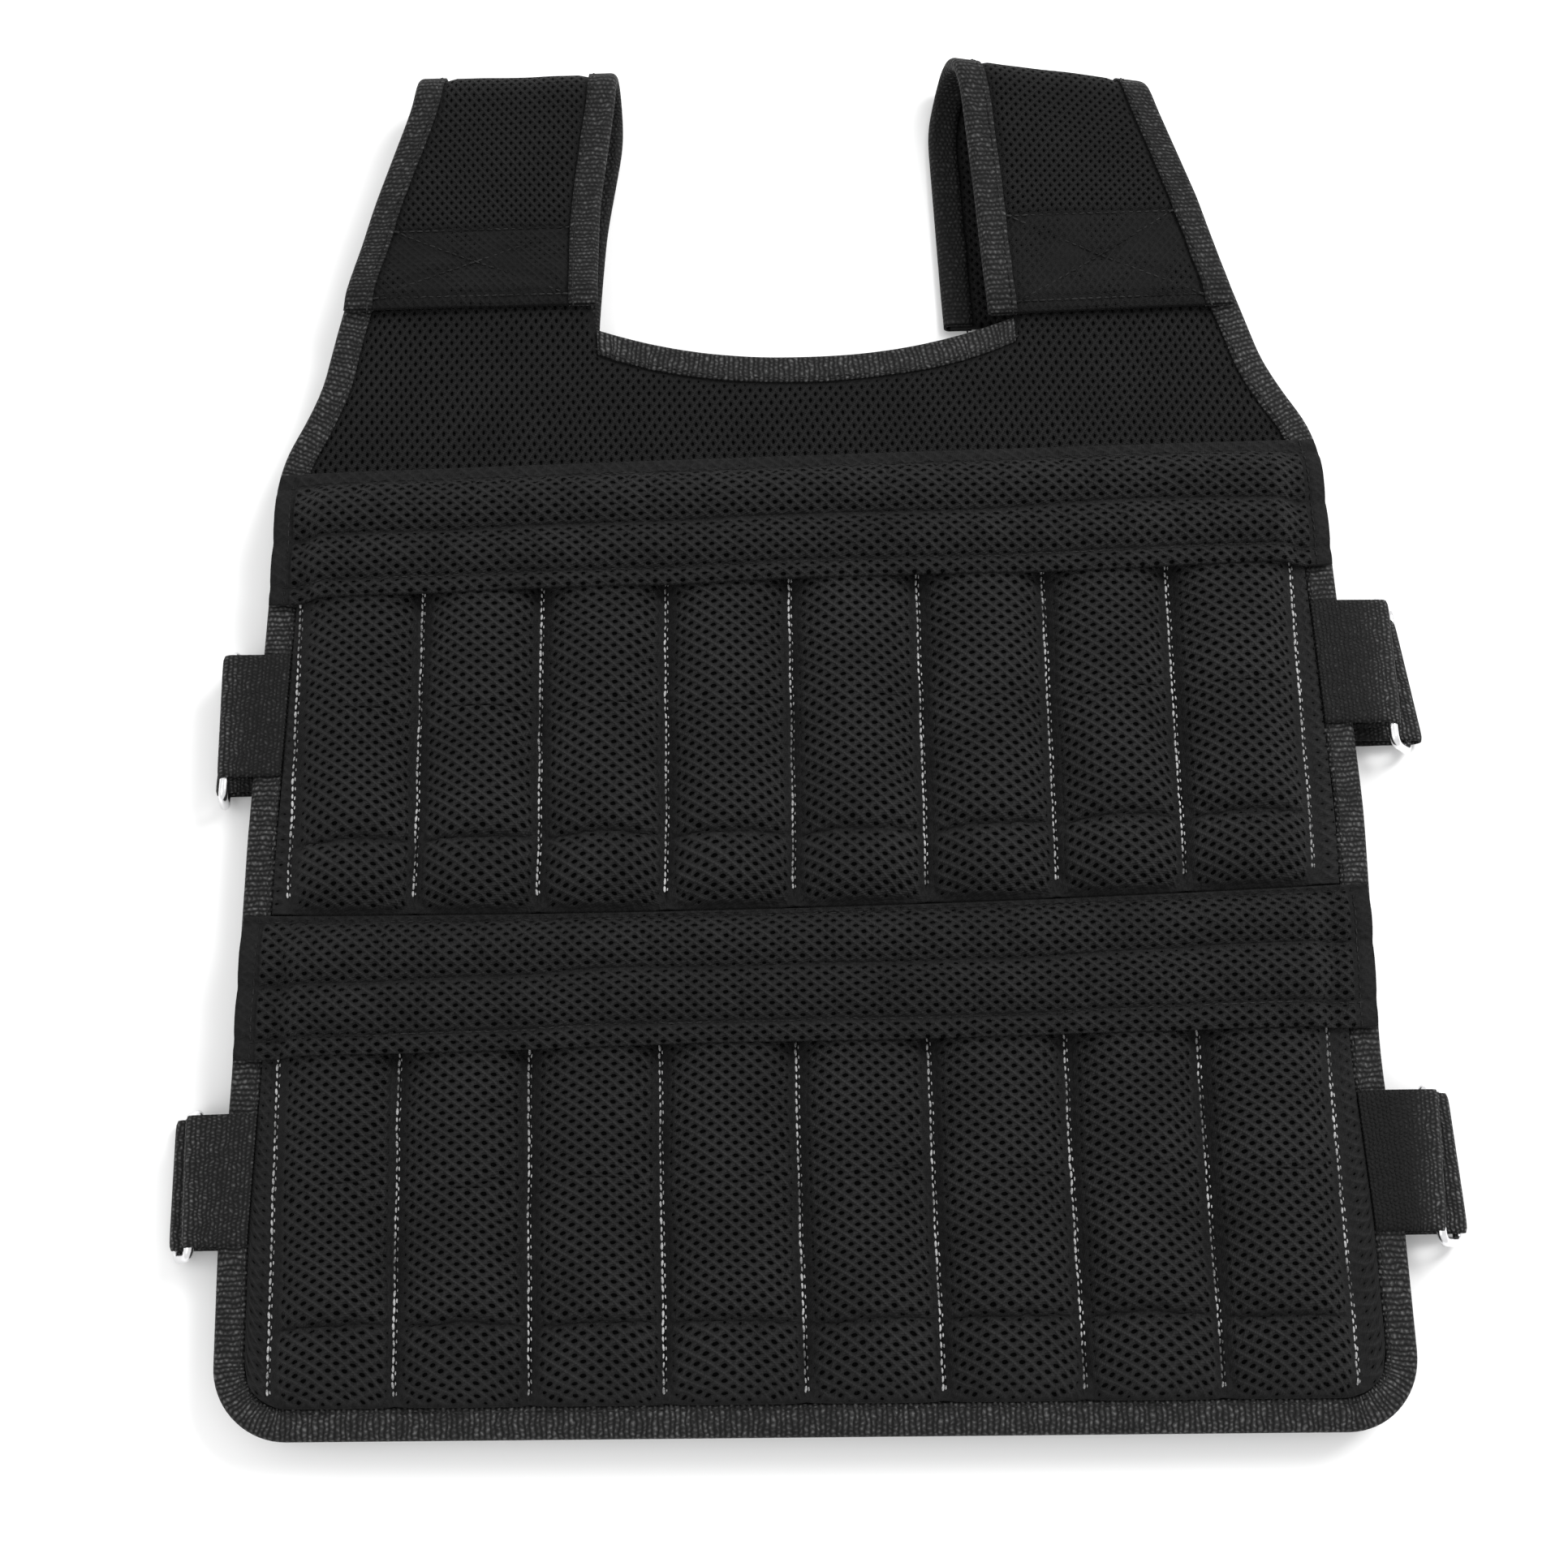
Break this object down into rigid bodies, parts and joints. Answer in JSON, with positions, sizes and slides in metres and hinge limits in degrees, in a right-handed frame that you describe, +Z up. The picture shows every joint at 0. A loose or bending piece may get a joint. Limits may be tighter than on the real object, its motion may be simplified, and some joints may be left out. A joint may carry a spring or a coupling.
{
  "type": "weighted vest",
  "caption": "Padded mesh vest lying flat, with two rows of weight pockets under flaps, folded shoulder straps and webbing side fastenings.",
  "frame": {"origin": "middle of the vest's footprint, on the surface that it lies on", "axes": "+Z up out of the surface, pocket side up; +Y from the hem to the shoulder folds; +X to the right as seen from above"},
  "size_m": [0.4816, 0.5616, 0.0343],
  "materials": {
    "spacer_mesh": "coarse open black air mesh, matt",
    "binding_tape": "woven black tape, matt",
    "webbing": "ribbed black webbing, slight sheen",
    "ring_steel": "bright plated wire"
  },
  "bodies": {
    "root": {"front_panel": "spacer_mesh", "front_binding": "binding_tape", "front_neck_binding": "binding_tape", "back_panel": "spacer_mesh", "back_binding": "binding_tape", "back_neck_binding": "binding_tape", "pocket_row_upper": "spacer_mesh", "pocket_row_lower": "spacer_mesh", "flap_upper": "spacer_mesh", "flap_lower": "spacer_mesh", "shoulder_strap_left": "spacer_mesh", "shoulder_strap_right": "spacer_mesh", "strap_binding_left_inner": "binding_tape", "strap_binding_left_outer": "binding_tape", "strap_binding_right_inner": "binding_tape", "strap_binding_right_outer": "binding_tape", "side_tab_left_upper": "webbing", "side_tab_left_lower": "webbing", "side_tab_right_upper": "webbing", "side_tab_right_lower": "webbing", "side_strap_left_upper": "webbing", "side_strap_left_lower": "webbing", "side_strap_right_upper": "webbing", "side_strap_right_lower": "webbing", "side_ring_left_upper": "ring_steel", "side_ring_left_lower": "ring_steel", "side_ring_right_upper": "ring_steel", "side_ring_right_lower": "ring_steel"}
  },
  "joints": []
}
